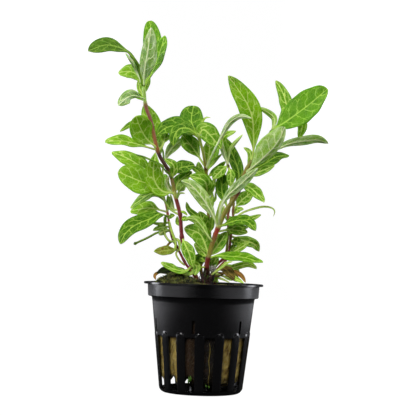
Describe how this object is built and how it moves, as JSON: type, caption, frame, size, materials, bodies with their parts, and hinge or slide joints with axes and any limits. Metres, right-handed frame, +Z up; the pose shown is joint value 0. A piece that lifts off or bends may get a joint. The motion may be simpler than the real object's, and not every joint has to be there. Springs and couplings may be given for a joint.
{
  "type": "potted hygrophila",
  "caption": "Bunch of hygrophila, an aquarium stem plant with opposite veined leaves, growing from a wool plug in a black slotted net pot.",
  "frame": {"origin": "middle of the pot's flat base, on the surface that it stands on", "axes": "+Z up along the pot's axis, +X to the right and +Y away from the viewer in the picture's view"},
  "size_m": [0.1122, 0.0577, 0.1738],
  "materials": {
    "pot_plastic": "satin",
    "wool": "matte",
    "stem": "satin",
    "leaf": "satin",
    "dead_leaf": "matte"
  },
  "bodies": {
    "root": {"back_leaf_left": "leaf", "back_leaf_low": "leaf", "back_leaf_middle": "leaf", "back_leaf_right": "leaf", "back_leaf_upper": "leaf", "back_stem": "stem", "centre_leaf_behind": "leaf", "centre_leaf_beside_stem": "leaf", "centre_leaf_dark_low": "leaf", "centre_leaf_dark_right": "leaf", "centre_leaf_dark_round": "leaf", "centre_leaf_folded": "leaf", "centre_leaf_glossy": "leaf", "centre_leaf_left": "leaf", "centre_leaf_low_back": "leaf", "centre_leaf_low_right": "leaf", "centre_leaf_pale_front": "leaf", "centre_leaf_rolled": "leaf", "centre_leaf_top_right": "leaf", "centre_leaf_veined": "leaf", "centre_leaf_very_dark": "leaf", "centre_leaf_yellow": "leaf", "centre_stem": "stem", "dead_leaf_left": "dead_leaf", "dead_leaf_right": "dead_leaf", "leaf_on_wool": "leaf", "left_leaf_behind_stem": "leaf", "left_leaf_blunt": "leaf", "left_leaf_dark_arch": "leaf", "left_leaf_light": "leaf", "left_leaf_middle": "leaf", "left_leaf_upright": "leaf", "left_leaf_wide": "leaf", "low_leaf_hanging": "leaf", "low_left_leaf_dark": "leaf", "low_left_leaf_light": "leaf", "main_stem": "stem", "pot": "pot_plastic", "right_leaf_bent_down": "leaf", "right_leaf_bright": "leaf", "right_leaf_dark": "leaf", "right_leaf_grey": "leaf", "right_leaf_large": "leaf", "right_leaf_low": "leaf", "right_leaf_lowest": "leaf", "right_leaf_pale_front": "leaf", "right_leaf_pale_narrow": "leaf", "right_leaf_small_upright": "leaf", "right_leaf_upright": "leaf", "right_leaf_yellow": "leaf", "right_stem": "stem", "tall_stem": "stem", "thin_left_stem": "stem", "top_leaf_arching_left": "leaf", "top_leaf_back": "leaf", "top_leaf_front": "leaf", "top_leaf_left": "leaf", "top_leaf_pale_left": "leaf", "top_leaf_right": "leaf", "wool_plug": "wool"}
  },
  "joints": []
}
